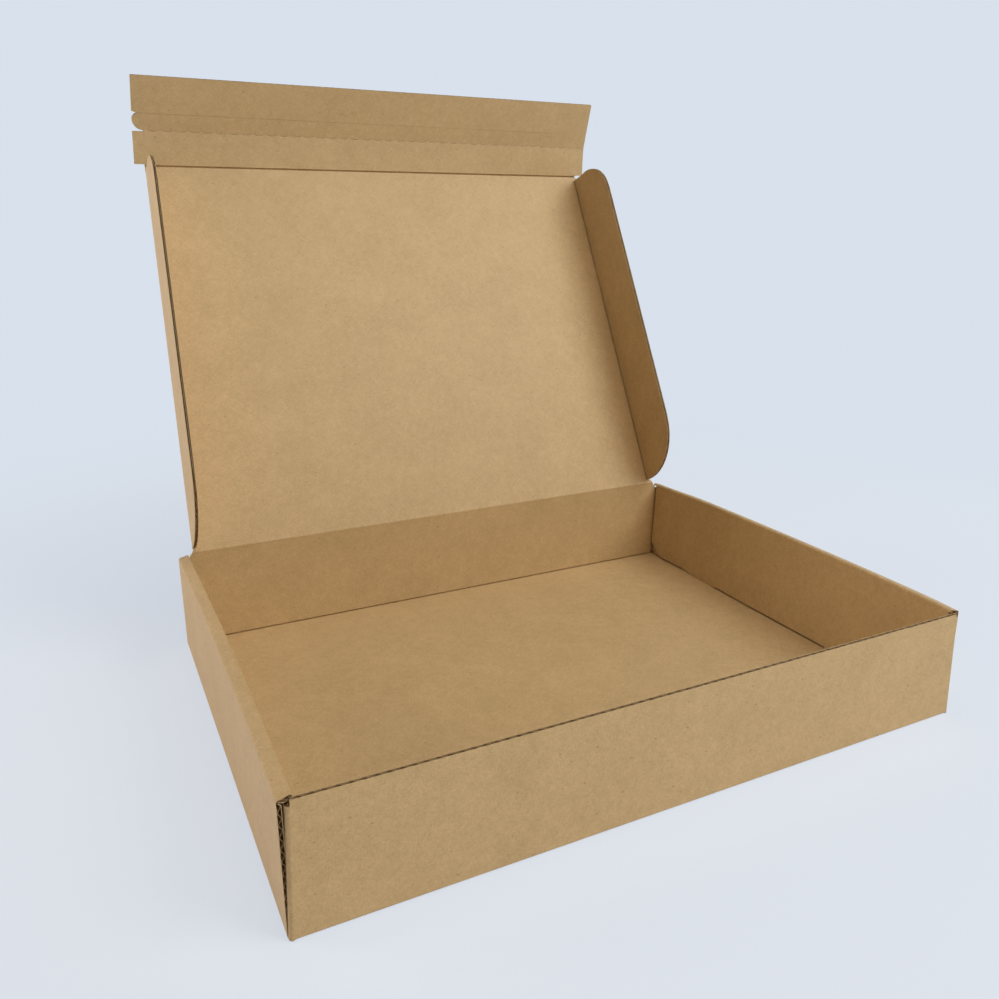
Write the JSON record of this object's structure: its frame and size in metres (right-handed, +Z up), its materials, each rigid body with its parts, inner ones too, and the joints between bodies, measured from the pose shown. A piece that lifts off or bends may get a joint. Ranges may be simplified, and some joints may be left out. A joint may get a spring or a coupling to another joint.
{
  "type": "mailer box",
  "caption": "Low corrugated mailer box standing open, with rolled double side walls, a hinged lid, rounded side flaps and a closure flap with a tear strip and thumb tab.",
  "frame": {"origin": "middle of the tray's underside", "axes": "+X to the right seen from the front, +Y back towards the lid's hinge line, +Z up"},
  "size_m": [0.4546, 0.4868, 0.4501],
  "materials": {
    "kraft_board": "matte"
  },
  "bodies": {
    "tray": {"tray": "kraft_board"},
    "lid": {"lid": "kraft_board"},
    "lid_flap_left": {"lid_flap_left": "kraft_board"},
    "lid_flap_right": {"lid_flap_right": "kraft_board"},
    "closure_flap": {"closure_flap": "kraft_board"}
  },
  "joints": [
    {"name": "lid_hinge", "type": "hinge", "parent": "tray", "child": "lid", "pos_m": [0, 0.1667, 0.07579], "axis": [-1, 0, 0], "range_deg": [-116.6, 63.4]},
    {"name": "left_flap_hinge", "type": "hinge", "parent": "lid", "child": "lid_flap_left", "pos_m": [-0.2154, 0.1667, 0.07579], "axis": [0, 0.4478, 0.8942], "range_deg": [-90, 5]},
    {"name": "right_flap_hinge", "type": "hinge", "parent": "lid", "child": "lid_flap_right", "pos_m": [0.2154, 0.1667, 0.07579], "axis": [0, -0.4478, -0.8942], "range_deg": [-90, 5]},
    {"name": "closure_hinge", "type": "hinge", "parent": "lid", "child": "closure_flap", "pos_m": [0, 0.31746, 0.37685], "axis": [1, 0, 0], "range_deg": [-60, 50]}
  ]
}
